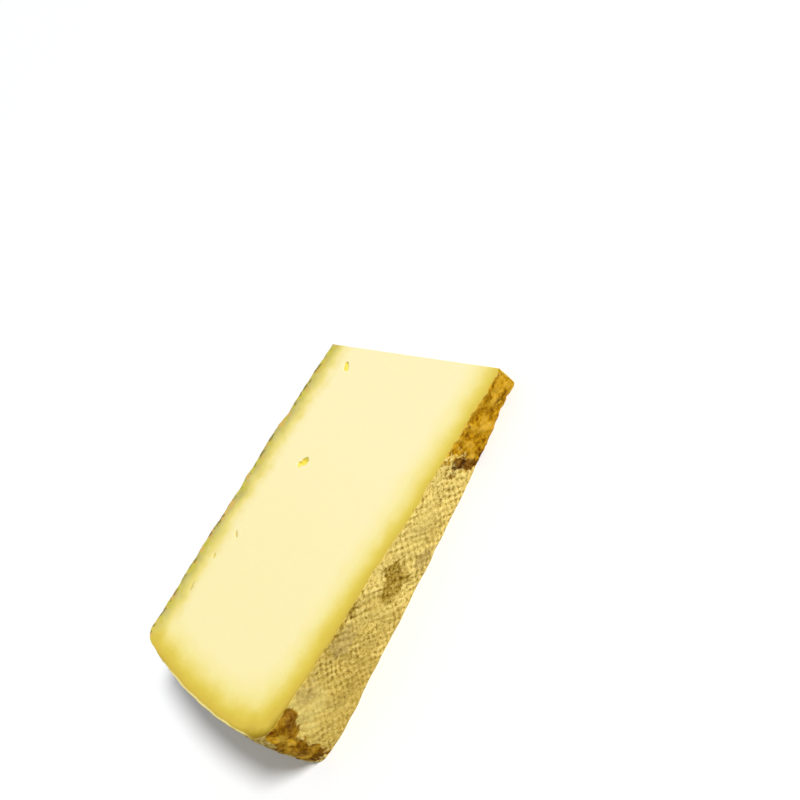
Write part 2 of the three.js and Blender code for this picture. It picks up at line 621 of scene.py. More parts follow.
class Sheet:
    """A node tree, with short calls that add its nodes and join them."""

    def __init__(self, tree: bpy.types.NodeTree, mottle: bpy.types.NodeTree | None = None) -> None:
        """Takes the tree that the nodes go into, and the node group for uneven patches.

        Args:
            tree: The tree.
            mottle: The group, for a tree that uses it.
        """
        self.tree = tree
        self.mottle = mottle

    def feed(self, socket: Socket, value: Given) -> None:
        """Joins a socket to another one, or sets its own value.

        Args:
            socket: An input.
            value: The output that it is joined to, or its value.
        """
        if isinstance(value, Socket):
            self.tree.links.new(value, socket)
        else:
            socket.default_value = value

    def add(self, kind: str, inputs: dict | None = None, **settings: object) -> bpy.types.Node:
        """Adds a shader node.

        Args:
            kind: The node's type, without the ShaderNode that all their names start with.
            inputs: A value or a socket for each input, by name or number.
            **settings: The node's own settings.

        Returns:
            The node.
        """
        node = self.tree.nodes.new("ShaderNode" + kind)
        for name, value in settings.items():
            setattr(node, name, value)
        for name, value in (inputs or {}).items():
            self.feed(node.inputs[name], value)
        return node

    def math(self, operation: str, *values: Given) -> Socket:
        """The result of a sum or another operation on numbers."""
        return self.add("Math", dict(enumerate(values)), operation=operation).outputs[0]

    def weighted(self, values: Iterable[Socket], weights: Iterable[float]) -> Socket:
        """Adds up numbers, each times its weight.

        Args:
            values: The numbers.
            weights: A weight for each.

        Returns:
            The sum.
        """
        total = 0.0
        for value, weight in zip(values, weights):
            total = self.math("MULTIPLY_ADD", value, weight, total)
        return total

    def blend(self, share: Given, first: Given, second: Given, kind: str = "MIX") -> Socket:
        """A share of the second colour laid over the first, plainly or in another of the Mix node's ways."""
        node = self.add("Mix", {0: share, 6: first, 7: second}, data_type="RGBA", blend_type=kind)
        return node.outputs[2]

    def tinted(self, colour: Given, cover: Given, strength: float, tint: Triple) -> Socket:
        """A colour with a tint laid over it, as strongly as its cover times a strength."""
        return self.blend(self.math("MULTIPLY", cover, strength), colour, linear(tint))

    def step(self, value: Given, low: float, high: float) -> Socket:
        """A soft step from 0 to 1, as the value goes from low to high."""
        inputs = {"Value": value, "From Min": low, "From Max": high}
        return self.add("MapRange", inputs, interpolation_type="SMOOTHSTEP").outputs[0]

    def read(self, name: str) -> Socket:
        """A number that the mesh holds for each vertex."""
        return self.add("Attribute", attribute_name=name).outputs["Fac"]

    def gaps(self) -> Gaps:
        """The distances from the rind's three sides that the mesh holds."""
        held = self.add("Attribute", attribute_name="gaps").outputs["Vector"]
        return Gaps(*self.add("SeparateXYZ", {0: held}).outputs)

    def mottled(self, patches: Mottle) -> Socket:
        """Uneven patches, as values round zero."""
        inputs = {"Size": patches.size, "Detail": patches.detail, "Seed": patches.seed}
        return self.add("Group", inputs, node_tree=self.mottle).outputs[0]

    def ramp(self, value: Socket, stops: Stops, over: Triple = WHITE) -> Socket:
        """A colour from a row of colours.

        Args:
            value: The place in the row.
            stops: Places in rising order, each with its colour.
            over: A colour that all of the row is divided by.

        Returns:
            The colour's socket.
        """
        low, high = stops[0][0], stops[-1][0]
        share = self.add("MapRange", {"Value": value, "From Min": low, "From Max": high}).outputs[0]
        node = self.add("ValToRGB", {0: share})
        node.color_ramp.interpolation = "CARDINAL"
        elements = node.color_ramp.elements
        while len(elements) < len(stops):
            elements.new(0.5)
        for element, (place, colour) in zip(elements, stops):
            element.position = (place - low) / (high - low)
            element.color = [top / bottom for top, bottom in zip(linear(colour), linear(over))]
        return node.outputs[0]


class MaterialSheet(Sheet):
    """The sheet of a new material, whose shader stands ready on it."""

    def __init__(self, name: str, mottle: bpy.types.NodeTree) -> None:
        """Starts the material.

        Args:
            name: The material's name.
            mottle: The node group for uneven patches.
        """
        self.material = bpy.data.materials.new(name)
        self.material.use_nodes = True
        super().__init__(self.material.node_tree, mottle)
        self.shader = self.tree.nodes["Principled BSDF"]

    def dress(self, colour: Given, uneven: Socket, surface: Surface, height: Socket | None = None) -> None:
        """Feeds the shader.

        Args:
            colour: The colour.
            uneven: Values round zero that change the roughness.
            surface: How rough, glossy and bumpy the material is.
            height: Height of the bumps, where it has any.
        """
        inputs = self.shader.inputs
        self.feed(inputs["Base Color"], colour)
        roughness = self.math("MULTIPLY_ADD", uneven, surface.roughness_change, surface.roughness)
        self.feed(inputs["Roughness"], roughness)
        inputs["Specular IOR Level"].default_value = surface.specular
        if height is not None:
            strength, depth = surface.bump_strength, surface.bump_depth * MM
            bump = self.add("Bump", {"Strength": strength, "Distance": depth, "Height": height})
            self.feed(inputs["Normal"], bump.outputs[0])


def mottle_group() -> bpy.types.NodeTree:
    """Makes the node group for the uneven patches that every finish has.

    Returns:
        The group, whose inputs are a Mottle's fields and whose output is noise spread round zero.
    """
    tree = bpy.data.node_groups.new("mottle", "ShaderNodeTree")
    for name in ("Size", "Detail", "Seed"):
        tree.interface.new_socket(name, in_out="INPUT", socket_type="NodeSocketFloat")
    tree.interface.new_socket("Value", in_out="OUTPUT", socket_type="NodeSocketFloat")
    sheet = Sheet(tree)
    given = tree.nodes.new("NodeGroupInput").outputs
    place = sheet.add("TexCoord").outputs["Object"]
    scale = sheet.math("DIVIDE", 1 / MM, given["Size"])
    scaling = {0: place, 1: scale, 2: given["Seed"]}
    spot = sheet.add("VectorMath", scaling, operation="MULTIPLY_ADD").outputs[0]
    texture = sheet.add("TexNoise", {"Vector": spot, "Scale": 1.0, "Detail": given["Detail"]})
    value = sheet.math("MULTIPLY_ADD", texture.outputs[0], 2.0, -1.0)
    sheet.feed(tree.nodes.new("NodeGroupOutput").inputs["Value"], value)
    return tree


@dataclass(frozen=True)
class Coat:
    """One tone of the rind: its colours in the deepest pits, between and on the highest bumps, and its edge.

    A clotted coat's colours follow the clots in it and not the print. Its edge lies where the cover goes
    from the first share to the second. Where the colours follow the print, the darker pits are partly
    painted shade and the paler bumps partly a painted highlight, besides the rind's own colour.
    """

    pit: Triple
    middle: Triple
    crest: Triple
    edge: Pair = (0.1, 1.1)
    clotted: bool = False

    @property
    def stops(self) -> Stops:
        """The colours in a row."""
        return ((-1.0, self.pit), (0.0, self.middle), (1.0, self.crest))


@dataclass(frozen=True)
class RindFinish:
    """The rind: pale bumps and dark pits, partly its own colour and partly painted highlight on the bumps and
    painted shade in the pits, with patches of other tones.
    """

    straw: Coat = Coat((116, 86, 14), (218, 191, 104), (248, 225, 144))
    tan: Coat = Coat((112, 82, 18), (196, 168, 82), (232, 206, 124))
    coats: tuple[tuple[Tone, Coat], ...] = (
        (Tone.WORN, Coat((148, 120, 56), (212, 189, 105), (233, 212, 133), (0.5, 1.1))),
        (Tone.BLOOM, Coat((112, 86, 30), (184, 158, 86), (214, 190, 118))),
        (Tone.OLIVE, Coat((80, 56, 0), (156, 126, 42), (198, 168, 82))),
        (Tone.SMEAR, Coat((84, 46, 0), (145, 103, 14), (186, 146, 44), (0.25, 0.65), clotted=True)),
        (Tone.CRUST, Coat((104, 54, 0), (193, 145, 26), (212, 168, 62), (0.25, 0.65), clotted=True)),
        (Tone.BRUISE, Coat((60, 30, 4), (110, 70, 10), (146, 104, 36), (0.2, 0.9), clotted=True)),
    )
    # A pale line on the rind along the cuts: partly the colour of the rind's cut section, partly a painted
    # highlight where the cut edge catches the light
    cut_section_and_highlight: Triple = (222, 196, 88)
    cut_section_and_highlight_share: float = 0.5
    cut_section_and_highlight_width: Pair = (0.6, 0.1)

    # The patches that the colours and the bumps are made of, from the finest to the broadest
    fine: Mottle = Mottle(0.8, 1.0, 11.7)
    grain: Mottle = Mottle(1.8, 2.0, 23.3)
    small: Mottle = Mottle(3.4, 3.0, 37.1)
    clot: Mottle = Mottle(6.0, 3.0, 41.9)
    broad: Mottle = Mottle(14.0, 2.0, 53.3)

    # The height's parts: the cloth's print, grain and fine. Where the rind is worn it is lower
    height_weights: tuple[float, ...] = (0.38, 0.65, 0.95)
    worn_change: float = -0.5

    # The clots' parts: clot, small, grain and fine
    clot_weights: tuple[float, ...] = (1.9, 1.0, 0.7, 0.5)

    # The parts of what turns straw to tan: broad and the distance from the rim
    tan_weights: Pair = (1.0, -0.02)
    tan_cover: Pair = (-1.5, -0.9)

    # The parts of a coat's cover: the tone's share, small and height
    coat_weights: tuple[float, ...] = (1.0, 0.5, -0.25)

    # The parts of the pale line along the cuts, partly the rind's cut section and partly a painted highlight
    # where the cut edge catches the light: the distance from the cut and small
    cut_section_and_highlight_weights: Pair = (1.0, 1.2)
    surface: Surface = Surface(0.85, 0.1, 0.04, bump_strength=0.7, bump_depth=0.14)

    def material(self, mottle: bpy.types.NodeTree) -> bpy.types.Material:
        """Makes the material.

        Args:
            mottle: The node group for uneven patches.

        Returns:
            The material.
        """
        sheet = MaterialSheet("cheese_rind", mottle)
        fine, grain, small = (sheet.mottled(patches) for patches in (self.fine, self.grain, self.small))
        clot, broad = sheet.mottled(self.clot), sheet.mottled(self.broad)
        height = sheet.weighted((sheet.read("bumps"), grain, fine), self.height_weights)
        left = sheet.math("MULTIPLY_ADD", sheet.read(Tone.WORN.value), self.worn_change, 1.0)
        height = sheet.math("MULTIPLY", height, left)
        clots = sheet.weighted((clot, small, grain, fine), self.clot_weights)

        darker = sheet.step(sheet.weighted((broad, sheet.gaps().rim), self.tan_weights), *self.tan_cover)
        # Darker in the pits and paler on the bumps: partly the rind's own colour, partly painted shade and
        # painted highlight
        colour = sheet.blend(darker, sheet.ramp(height, self.straw.stops), sheet.ramp(height, self.tan.stops))
        for tone, coat in self.coats:
            cover = sheet.weighted((sheet.read(tone.value), small, height), self.coat_weights)
            tint = sheet.ramp(clots if coat.clotted else height, coat.stops)
            colour = sheet.blend(sheet.step(cover, *coat.edge), colour, tint)
        # The pale line along the cuts, partly a painted highlight
        from_cut = sheet.weighted((sheet.read("from_cut"), small), self.cut_section_and_highlight_weights)
        section_and_highlight_at_cut = sheet.step(from_cut, *self.cut_section_and_highlight_width)
        colour = sheet.tinted(colour, section_and_highlight_at_cut, self.cut_section_and_highlight_share, self.cut_section_and_highlight)
        sheet.dress(colour, small, self.surface, height)
        return sheet.material


@dataclass(frozen=True)
class Fleck:
    """Flecks of a colour that lie by chance in the paste along the back rind.

    They show where their patches rise above low, fully so at edge above that. They lie within their
    reach of the rind, in millimetres, and fully so within the full share of it.
    """

    colour: Triple
    patches: Mottle
    low: float
    reach: float
    share: float
    edge: float = 0.15
    full: float = 0.3


@dataclass(frozen=True)
class PasteFinish:
    """The cut paste: pale in the middle and paler still towards the tip in painted light, ripening to gold
    under the rind, with depths in millimetres.
    """

    # Away from the rind, near the rim and near the tip, and where each starts. The paler colour near the tip
    # is painted light, as if the tip end were lit more brightly
    outer: Triple = (243, 230, 171)
    paste_lit_near_tip: Triple = (246, 233, 180)
    tip_span: Pair = (20.0, 150.0)

    # The colours at each depth, under the rim and the front side and then under the back side. Each row
    # is divided by the unripe colour, so that both can be multiplied onto the paste
    unripe: Triple = (242, 233, 181)
    ripe: Stops = (
        (-4.0, (134, 106, 8)),
        (-2.0, (163, 138, 22)),
        (0.0, (203, 178, 67)),
        (2.0, (213, 191, 74)),
        (4.5, (221, 203, 92)),
        (7.5, (231, 216, 126)),
        (11.0, (237, 227, 155)),
        (15.0, (241, 231, 172)),
        (20.0, (242, 233, 181)),
    )
    back: Stops = (
        (-2.0, (165, 157, 86)),
        (0.0, (180, 172, 96)),
        (2.0, (197, 188, 110)),
        (4.0, (214, 203, 118)),
        (6.5, (228, 215, 128)),
        (9.0, (236, 225, 158)),
        (13.0, (242, 233, 181)),
    )
    ripe_corner: float = 26.0
    front_shifts: Pair = (-0.8, 1.4)
    rim_shifts: Pair = (0.5, -1.4)
    rim_shift_span: Pair = (0.0, 18.0)
    back_shift: float = -1.2
    back_span: Pair = (-2.0, 18.0)
    back_stains: float = 2.6
    stains: Mottle = Mottle(4.0, 2.0, 97.3)
    wander: float = 3.2
    wander_reach: float = 6.0
    wandering: Mottle = Mottle(9.0, 3.0, 61.3)
    flecks: tuple[Fleck, ...] = (
        Fleck((202, 189, 62), Mottle(5.0, 2.0, 101.3), low=-0.02, reach=7.0, share=0.7),
        Fleck((214, 172, 92), Mottle(4.2, 2.0, 107.9), low=0.08, reach=5.5, share=0.75),
        Fleck((120, 106, 42), Mottle(3.4, 2.0, 113.1), low=0.02, reach=2.4, share=0.75),
    )

    # Crumbs of rind along both flat sides, and a pale line under the rim
    crumb: Triple = (150, 118, 40)
    crumbs: Mottle = Mottle(1.7, 2.0, 67.9)
    crumb_reach: float = 1.5
    crumb_edge: Pair = (0.05, 0.4)
    crumb_share: float = 0.7
    rim_line: Triple = (236, 222, 150)
    rim_line_width: Pair = (1.0, 0.3)
    rim_line_wander: float = 0.3
    rim_line_from_front: Pair = (3.0, 12.0)
    rim_line_from_back: Pair = (8.0, 26.0)
    rim_line_share: float = 0.8

    # Painted shade in the eyes and the shallow marks, by the depth below the cut: a darker, greyer colour on
    # their walls and a deeper yellow inside
    eye_wall_shade: Triple = (216, 196, 116)
    eye_wall_shade_depth: Pair = (0.1, 0.3)
    eye: Triple = (230, 214, 80)
    eye_inside_shade_depth: Pair = (0.32, 0.5)
    grain: tuple[Mottle, Mottle] = (Mottle(0.7, 3.0, 71.9), Mottle(4.0, 2.0, 79.7))
    grain_weights: Pair = (0.5, 1.0)
    surface: Surface = Surface(0.52, 0.05, 0.35, bump_strength=0.25, bump_depth=0.12)
    subsurface: float = 0.12
    subsurface_radius: Triple = (1.0, 0.7, 0.3)
    subsurface_depth: float = 2.5

    def depth(self, sheet: Sheet, gap: Socket, shift: Socket, wander: Socket) -> Socket:
        """A distance from the rind, shifted and made uneven, but not at the rind itself."""
        uneven = sheet.math("MULTIPLY", wander, sheet.step(gap, 0.0, self.wander_reach))
        return sheet.math("ADD", sheet.math("ADD", gap, shift), uneven)

    def ripened(self, sheet: Sheet, gaps: Gaps, wander: Socket) -> Socket:
        """The paste's colours, as they ripen towards the rind.

        Args:
            sheet: The material's sheet.
            gaps: Distances from the rind.
            wander: What makes the distances uneven.

        Returns:
            The colour.
        """
        to_tip = sheet.step(gaps.rim, *self.tip_span)
        at_rim, at_tip = self.front_shifts
        front_shift = sheet.math("MULTIPLY_ADD", to_tip, at_tip - at_rim, at_rim)
        at_back, at_middle = self.rim_shifts
        off_back = sheet.step(gaps.back, *self.rim_shift_span)
        rim_shift = sheet.math("MULTIPLY_ADD", off_back, at_middle - at_back, at_back)
        front = self.depth(sheet, gaps.front, front_shift, wander)
        rim = self.depth(sheet, gaps.rim, rim_shift, wander)
        near = sheet.math("SMOOTH_MIN", front, rim, self.ripe_corner)
        stained = sheet.math("MULTIPLY_ADD", sheet.mottled(self.stains), self.back_stains, self.back_shift)
        back = self.depth(sheet, gaps.back, stained, wander)
        off_rim = sheet.step(gaps.rim, *self.back_span)
        # Painted light: the paste turns paler towards the tip
        colour = sheet.blend(to_tip, linear(self.outer), linear(self.paste_lit_near_tip))
        for value, stops, share in ((near, self.ripe, 1.0), (back, self.back, off_rim)):
            colour = sheet.blend(share, colour, sheet.ramp(value, stops, over=self.unripe), "MULTIPLY")
        return colour

    def flecked(self, sheet: Sheet, colour: Socket, gaps: Gaps) -> Socket:
        """Lays the flecks over a colour.

        Args:
            sheet: The material's sheet.
            colour: The colour.
            gaps: Distances from the rind.

        Returns:
            The colour with its flecks.
        """
        for fleck in self.flecks:
            cover = sheet.step(sheet.mottled(fleck.patches), fleck.low, fleck.low + fleck.edge)
            near = sheet.step(gaps.back, fleck.reach, fleck.full * fleck.reach)
            colour = sheet.tinted(colour, sheet.math("MULTIPLY", cover, near), fleck.share, fleck.colour)
        return colour

    def edged(self, sheet: Sheet, colour: Socket, gaps: Gaps, wander: Socket) -> Socket:
        """Lays the crumbs of rind and the pale line under the rim over a colour.

        Args:
            sheet: The material's sheet.
            colour: The colour.
            gaps: Distances from the rind.
            wander: What makes the line uneven.

        Returns:
            The colour with its edges.
        """
        crumbs = sheet.math("MULTIPLY", sheet.mottled(self.crumbs), self.crumb_reach)
        from_edge = sheet.math("MINIMUM", gaps.front, gaps.back)
        ragged = sheet.step(sheet.math("SUBTRACT", crumbs, from_edge), *self.crumb_edge)
        colour = sheet.tinted(colour, ragged, self.crumb_share, self.crumb)
        from_rim = sheet.math("MULTIPLY_ADD", wander, self.rim_line_wander, gaps.rim)
        line = sheet.step(from_rim, *self.rim_line_width)
        for gap, span in ((gaps.front, self.rim_line_from_front), (gaps.back, self.rim_line_from_back)):
            line = sheet.math("MULTIPLY", line, sheet.step(gap, *span))
        return sheet.tinted(colour, line, self.rim_line_share, self.rim_line)

    def material(self, mottle: bpy.types.NodeTree) -> bpy.types.Material:
        """Makes the material.

        Args:
            mottle: The node group for uneven patches.

        Returns:
            The material.
        """
        sheet = MaterialSheet("cheese_paste", mottle)
        gaps = sheet.gaps()
        wander = sheet.math("MULTIPLY", sheet.mottled(self.wandering), self.wander)
        colour = self.flecked(sheet, self.ripened(sheet, gaps, wander), gaps)
        colour = self.edged(sheet, colour, gaps, wander)
        sink = sheet.read("sink")
        # Painted shade in the hollows, by the depth below the cut
        for tint, depth in ((self.eye_wall_shade, self.eye_wall_shade_depth), (self.eye, self.eye_inside_shade_depth)):
            colour = sheet.blend(sheet.step(sink, *depth), colour, linear(tint))
        grain = sheet.weighted((sheet.mottled(patches) for patches in self.grain), self.grain_weights)
        sheet.dress(colour, grain, self.surface, grain)
        inputs = sheet.shader.inputs
        inputs["Subsurface Weight"].default_value = self.subsurface
        inputs["Subsurface Radius"].default_value = self.subsurface_radius
        inputs["Subsurface Scale"].default_value = self.subsurface_depth * MM
        return sheet.material


@dataclass
class CheeseWedge:
    """The wedge as one closed mesh. A lattice block is bent into the sector of the wheel."""

    wheel: Wheel = Wheel()
    waves: LongWaves = LongWaves()
    rind: Rind = Rind()
    upper_cut: UpperCut = UpperCut()
    lattice: Lattice = Lattice()
    corner_wear: float = 2.0
    corner_wear_reach: float = 15.0
    rim_calm: float = 0.75
    rim_calm_levels: Pair = (0.6, 1.0)
    lower_calm: float = 0.45
    lower_calm_levels: Pair = (0.0, 0.4)
    sharp_turn: float = math.radians(60)
    paste_finish: PasteFinish = PasteFinish()
    rind_finish: RindFinish = RindFinish()

    def __post_init__(self) -> None:
        """Works out the wheel's section and where the edges of the rind are on it."""
        table, edges = self.wheel.half_section()
        self.distance, self.section_radius, self.section_front = table.T
        ways = np.gradient(table[:, 1:], axis=0)
        ways /= np.linalg.norm(ways, axis=1)[:, None]
        self.normal_radius, self.normal_front = -ways[:, 1], ways[:, 0]
        self.front_edge = (edges[0] + edges[1]) / 2
        self.back_edge = (edges[2] + edges[3]) / 2

    def skin_section(self, along: np.ndarray, level: np.ndarray, lift: np.ndarray) -> np.ndarray:
        """Where points of the skin lie in the plane through the wheel's axis.

        Args:
            along: Distance along the skin from the tip of the front side.
            level: 0 at the lower cut and 1 at the upper.
            lift: Height above the smooth wheel.

        Returns:
            Distance from the axis and height towards the front, one point a row.
        """
        wheel = self.wheel
        radius = np.interp(along, self.distance, self.section_radius)
        front = np.interp(along, self.distance, self.section_front)
        radius = radius + lift * np.interp(along, self.distance, self.normal_radius)
        front = front + lift * np.interp(along, self.distance, self.normal_front)
        radius = radius + wheel.growth_at(level) * (radius - wheel.hub_radius)
        front = front + (front / wheel.half_height) ** 3 * wheel.swell_at(radius)
        return np.column_stack([radius, front])

    def bend(self, section: np.ndarray, level: np.ndarray) -> np.ndarray:
        """Turns points of the section plane to their level between the cuts.

        Args:
            section: Distance from the axis and height towards the front, one point a row.
            level: 0 at the lower cut and 1 at the upper.

        Returns:
            Places with the wheel's axis at X = 0, one a row.
        """
        angle = level * self.wheel.sector
        radius = section[:, 0]
        return np.column_stack([-radius * np.cos(angle), -section[:, 1], radius * np.sin(angle)])

    def tip_radius(self, front: np.ndarray, level: np.ndarray) -> np.ndarray:
        """Distance of the tip cut from the axis, at a height towards the front and a level."""
        upper = self.wheel.tip_radius - front * math.tan(self.wheel.tip_skew)
        return upper / np.cos((1 - level) * self.wheel.sector)

    def side_start(self, side: Side, level: np.ndarray) -> np.ndarray:
        """Distance along the skin at which the tip cut meets a flat side.

        Args:
            side: Front or back.
            level: 0 at the lower cut and 1 at the upper.

        Returns:
            Distance along the skin, from the tip of the front side.
        """
        wheel = self.wheel
        swollen = side.value * (wheel.half_height + wheel.swell_at(np.array(wheel.tip_radius)))
        growth = wheel.growth_at(level)
        radius = (self.tip_radius(swollen, level) + growth * wheel.hub_radius) / (1 + growth)
        from_hub = radius - wheel.hub_radius
        return self.distance[0] + from_hub if side is Side.FRONT else self.distance[-1] - from_hub

    def long_relief(self, along: np.ndarray, level: np.ndarray) -> np.ndarray:
        """Slow unevenness of the skin, calmer at the rim's upper edge and lower down.

        Args:
            along: Distance along the skin from the tip of the front side.
            level: 0 at the lower cut and 1 at the upper.

        Returns:
            Height above the smooth wheel, with the wear of the front edge's lower end taken off.
        """
        smooth = self.skin_section(along, level, np.zeros(len(along)))
        on_rim = smooth_step(along, self.front_edge, self.front_edge + self.corner_wear_reach)
        on_rim = on_rim * (1 - smooth_step(along, self.back_edge - self.corner_wear_reach, self.back_edge))
        calm = self.rim_calm * on_rim * smooth_step(level, *self.rim_calm_levels)
        calm += self.lower_calm * (1 - smooth_step(level, *self.lower_calm_levels))
        from_edge = (along - self.front_edge) / self.corner_wear_reach
        wear = self.corner_wear * np.exp(-from_edge * from_edge) * (1 - level) ** 2
        return self.waves.at(self.bend(smooth, level)) * (1 - calm) - wear

    def along_side(self, points: Points, side: Side) -> np.ndarray:
        """Distance along the skin of the lattice's points, were they on one of its sides.

        Args:
            points: The points.
            side: The side.

        Returns:
            Distance along the skin, from the tip of the front side.
        """
        if side is Side.RIM:
            return self.back_edge + points.across * (self.front_edge - self.back_edge)
        edge = self.front_edge if side is Side.FRONT else self.back_edge
        start = self.side_start(side, points.level)
        return start + points.out * (edge - start)

    def along_skin(self, points: Points) -> np.ndarray:
        """Distance along the skin of the lattice's points, each on the side that it lies on.

        Args:
            points: The points.

        Returns:
            Distance along the skin, from the tip of the front side.
        """
        along = self.along_side(points, Side.RIM)
        for side, there in ((Side.FRONT, points.on_front), (Side.BACK, points.on_back)):
            along[there] = self.along_side(points, side)[there]
        return along

    def uneven_section(self, along: np.ndarray, level: np.ndarray) -> np.ndarray:
        """Where points of the skin lie in the section plane, with its slow unevenness but no fine relief."""
        return self.skin_section(along, level, self.long_relief(along, level))

    def body(self, points: Points) -> tuple[np.ndarray, np.ndarray]:
        """Spreads the lattice's points evenly between the sides, the tip and the rim.

        Args:
            points: The points.

        Returns:
            Points of the section plane, and their distances from the back, the front and the rim.
        """
        level = points.level
        back, rim, front = (self.uneven_section(self.along_side(points, side), level) for side in Side)
        edges = (self.back_edge, self.front_edge)
        back_end, front_end = (self.uneven_section(np.full(len(level), edge), level) for edge in edges)
        share, out = points.across[:, None], points.out[:, None]
        chord = (1 - share) * back_end + share * front_end
        section = (1 - share) * back + share * front + out * (rim - chord)
        gaps = (section[:, 1] - back[:, 1], front[:, 1] - section[:, 1], rim[:, 0] - section[:, 0])
        return section, np.column_stack(gaps)

    def upper_cut_place(self, section: np.ndarray) -> tuple[np.ndarray, np.ndarray]:
        """Distances of points of the upper cut from the tip cut and from the back side."""
        return section[:, 0] - self.wheel.tip_radius, section[:, 1] + self.wheel.half_height

    def is_rind(self, face: bmesh.types.BMFace) -> bool:
        """Whether a face of the lattice lies on the rim, the back or the front."""
        middle = face.calc_center_median()
        return middle.x > 1 - ON_SIDE or middle.y < ON_SIDE or middle.y > 1 - ON_SIDE

    def eye_edges(self, bm: bmesh.types.BMesh) -> list[bmesh.types.BMEdge]:
        """Finds where the lattice has to be finer for the eyes.

        Args:
            bm: The lattice block.

        Returns:
            The edges of its faces that lie on or near an eye.
        """
        upper = [face for face in bm.faces if face.calc_center_median().z > 1 - ON_SIDE]
        section, _ = self.body(Points(*np.array([face.calc_center_median() for face in upper]).T))
        from_tip, from_back = self.upper_cut_place(section)
        near = np.zeros(len(upper), bool)
        for eye in self.upper_cut.eyes:
            away = np.hypot(from_tip - eye.from_tip, from_back - eye.from_back)
            near |= away < eye.length / 2 + self.lattice.eye_margin
        return list({edge for face, hit in zip(upper, near) if hit for edge in face.edges})

    def divided_cube(self) -> bmesh.types.BMesh:
        """Divides a cube with coordinates from 0 to 1, with finer faces on the rind and at the eyes.

        Returns:
            The lattice block.
        """
        grid = self.lattice
        bm = bmesh.new()
        bmesh.ops.create_cube(bm, size=1)
        bmesh.ops.translate(bm, verts=bm.verts, vec=(0.5, 0.5, 0.5))
        for axis, parts in enumerate((grid.out, grid.across, grid.thick)):
            lengths = [(edge, edge.verts[0].co[axis] - edge.verts[1].co[axis]) for edge in bm.edges]
            edges = [edge for edge, length in lengths if abs(length) > ON_SIDE]
            bmesh.ops.subdivide_edges(bm, edges=edges, cuts=parts - 1, use_grid_fill=True)
        edges = list({edge for face in bm.faces if self.is_rind(face) for edge in face.edges})
        bmesh.ops.subdivide_edges(bm, edges=edges, cuts=grid.rind_cuts, use_grid_fill=True)
        for cuts in grid.eye_cuts:
            bmesh.ops.subdivide_edges(bm, edges=self.eye_edges(bm), cuts=cuts, use_grid_fill=True)
        bmesh.ops.triangulate(bm, faces=[face for face in bm.faces if len(face.verts) > 4])
        bm.normal_update()
        return bm

    def block(self) -> bpy.types.Mesh:
        """Makes the lattice block's mesh, with a material a face and sharp edges round the cuts.

        Returns:
            The mesh.
        """
        bm = self.divided_cube()
        for face in bm.faces:
            face.smooth = True
            face.material_index = RIND if self.is_rind(face) else PASTE
        for edge in bm.edges:
            first, second = edge.link_faces
            turned = first.normal.dot(second.normal) < math.cos(self.sharp_turn)
            alike = first.material_index == second.material_index
            edge.smooth = alike and (first.material_index == RIND or not turned)
        mesh = bpy.data.meshes.new(NODE)
        bm.to_mesh(mesh)
        bm.free()
        return mesh

    def place_in_frame(self) -> Vector:
        """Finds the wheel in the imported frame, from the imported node's cut planes.

        Returns:
            The place on the wheel's axis, at half of its height, on the lower cut.
        """
        wheel = self.wheel
        places = np.array([vertex.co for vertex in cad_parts[NODE].data.vertices]) / MM
        axis_x = (places[:, 0] + places[:, 2] / math.tan(wheel.sector)).max()
        from_axis = (axis_x - places[:, 0]) * math.cos(wheel.sector) + places[:, 2] * math.sin(wheel.sector)
        from_tip = from_axis - wheel.tip_radius
        middle_y = (places[:, 1] - from_tip / math.tan(wheel.tip_skew)).max()
        return Vector((axis_x, middle_y, places[:, 2].min()))

    def below_upper(self, section: np.ndarray, level: np.ndarray) -> np.ndarray:
        """Distance of points below the upper cut, each at its level."""
        return section[:, 0] * np.sin((1 - level) * self.wheel.sector)

    def raise_skin(self, section: np.ndarray, points: Points) -> tuple[np.ndarray, Tones]:
        """Moves the points of the skin to their place on the rind, with its fine relief.

        Args:
            section: All points of the section plane, of which those on the skin are changed.
            points: The lattice's points.

        Returns:
            Height of the cloth's print at the points of the skin, and how strongly each tone
            covers them.
        """
        there = points.on_skin
        level, along = points.level[there], self.along_skin(points)[there]
        below = self.below_upper(section[there], level)
        above = self.below_upper(section[there], 1 - level)
        skin = flat_places(along, below)
        bumps, tones = self.rind.cloth.bumps(skin), self.rind.tones(skin)
        fine = self.rind.relief(self.bend(section[there], level), bumps, tones)
        fine *= self.rind.calm(np.minimum(above, below), tones)
        fine[points.on_long_cut[there]] -= self.rind.cut_edge_drop
        section[there] = self.skin_section(along, level, self.long_relief(along, level) + fine)
        return bumps, tones

    def sink_at(self, section: np.ndarray, points: Points) -> np.ndarray:
        """How deep each point lies below the upper cut's plane, which is 0 off that cut and at its edges."""
        open_cut = points.on_upper & ~points.on_skin & ~points.on_tip
        return self.spread(self.upper_cut.sink(*self.upper_cut_place(section[open_cut])), open_cut)

    def shaped_mesh(self) -> bpy.types.Mesh:
        """Makes the wedge's mesh, with the attributes that its finishes read.

        Returns:
            The mesh, in its place in the frame.
        """
        mesh = self.block()
        flat = np.zeros(len(mesh.vertices) * 3, np.float32)
        mesh.vertices.foreach_get("co", flat)
        points = Points(*flat.reshape(-1, 3).astype(float).T)
        section, gaps = self.body(points)
        below = self.below_upper(section, points.level)
        bumps, tones = self.raise_skin(section, points)
        on_tip = points.on_tip
        section[on_tip, 0] = self.tip_radius(section[on_tip, 1], points.level[on_tip])
        sink = self.sink_at(section, points)

        upward = np.array([math.sin(self.wheel.sector), 0, math.cos(self.wheel.sector)])
        places = self.bend(section, points.level) - sink[:, None] * upward + np.array(self.place_in_frame())
        mesh.vertices.foreach_set("co", (places * MM).astype(np.float32).ravel())
        mesh.update()

